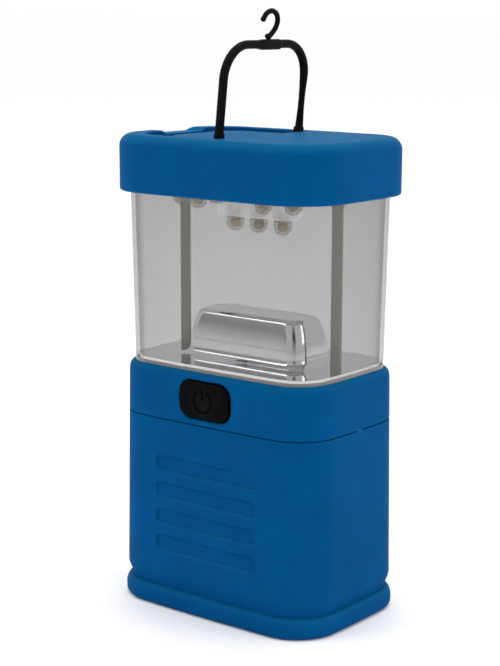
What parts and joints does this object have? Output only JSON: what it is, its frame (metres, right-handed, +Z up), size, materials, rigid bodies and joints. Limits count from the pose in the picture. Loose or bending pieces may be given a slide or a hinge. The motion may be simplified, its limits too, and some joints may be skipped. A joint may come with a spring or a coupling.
{
  "type": "camping lantern",
  "caption": "Small box-shaped LED camping lantern with a clear light chamber over a battery base, a push switch and a folding bail that carries a swivelling hook.",
  "frame": {"origin": "on the ground under the middle of the body", "axes": "+Z up, the front with the switch button faces -Y, +X to the right seen from the front"},
  "size_m": [0.0752, 0.0524, 0.1698],
  "materials": {
    "blue_plastic": "fine matt moulded plastic",
    "black_plastic": "satin moulded plastic",
    "white_plastic": "smooth moulded plastic",
    "clear_plastic": "clear polystyrene, slightly grey",
    "led_epoxy": "clear epoxy over a warm phosphor",
    "circuit_board": "solder resist",
    "cell_wrap": "printed shrink sleeve, plain",
    "red_wire": "PVC insulation",
    "chrome_plating": "vacuum-metallised plastic, mirror bright",
    "nickel": "dull nickel-plated strip",
    "steel": "zinc-plated"
  },
  "bodies": {
    "lantern": {"bottom_cover": "blue_plastic", "lower_housing": "blue_plastic", "upper_housing": "blue_plastic", "top_cap": "blue_plastic", "battery_cage": "black_plastic", "switch_body": "black_plastic", "led_carrier": "white_plastic", "lens": "clear_plastic", "reflector": "chrome_plating", "switch_board": "circuit_board", "led_board": "circuit_board", "led_ring_1": "led_epoxy", "led_ring_2": "led_epoxy", "led_ring_3": "led_epoxy", "led_ring_4": "led_epoxy", "led_ring_5": "led_epoxy", "led_ring_6": "led_epoxy", "led_ring_7": "led_epoxy", "led_ring_8": "led_epoxy", "led_centre_1": "led_epoxy", "led_centre_2": "led_epoxy", "led_centre_3": "led_epoxy", "aa_cell_1": "cell_wrap", "base_screw_1": "steel", "aa_cell_2": "cell_wrap", "base_screw_2": "steel", "aa_cell_3": "cell_wrap", "base_screw_3": "steel", "aa_cell_4": "cell_wrap", "base_screw_4": "steel", "nub_contact_1": "nickel", "contact_spring_2": "nickel", "nub_contact_3": "nickel", "contact_spring_4": "nickel", "conductor_strip_left": "nickel", "conductor_strip_right": "nickel", "lead_wire_left": "red_wire", "lead_wire_right": "red_wire", "carrier_screw_front": "steel", "carrier_screw_rear": "steel"},
    "bail": {"bail_handle": "black_plastic"},
    "hook": {"hook": "black_plastic"},
    "button": {"switch_button": "black_plastic", "switch_plunger": "white_plastic"},
    "door": {"battery_door": "blue_plastic", "door_contact_left": "nickel", "door_contact_right": "nickel"}
  },
  "joints": [
    {"name": "bail_pivot", "type": "hinge", "parent": "lantern", "child": "bail", "pos_m": [0, 0, 0.1332], "axis": [0, -1, 0], "range_deg": [0, 92]},
    {"name": "hook_swivel", "type": "hinge", "parent": "bail", "child": "hook", "pos_m": [0.00283, 0, 0.16015], "axis": [0.1045, 0, 0.9945], "range_deg": [-180, 180]},
    {"name": "button_press", "type": "slide", "parent": "lantern", "child": "button", "axis": [0, 1, 0], "range_m": [0, 0.0015], "stiffness_N_per_m": 400},
    {"name": "battery_door_hinge", "type": "hinge", "parent": "lantern", "child": "door", "pos_m": [-0.0212, 0, 0.0019], "axis": [0, 1, 0], "range_deg": [0, 95]}
  ]
}
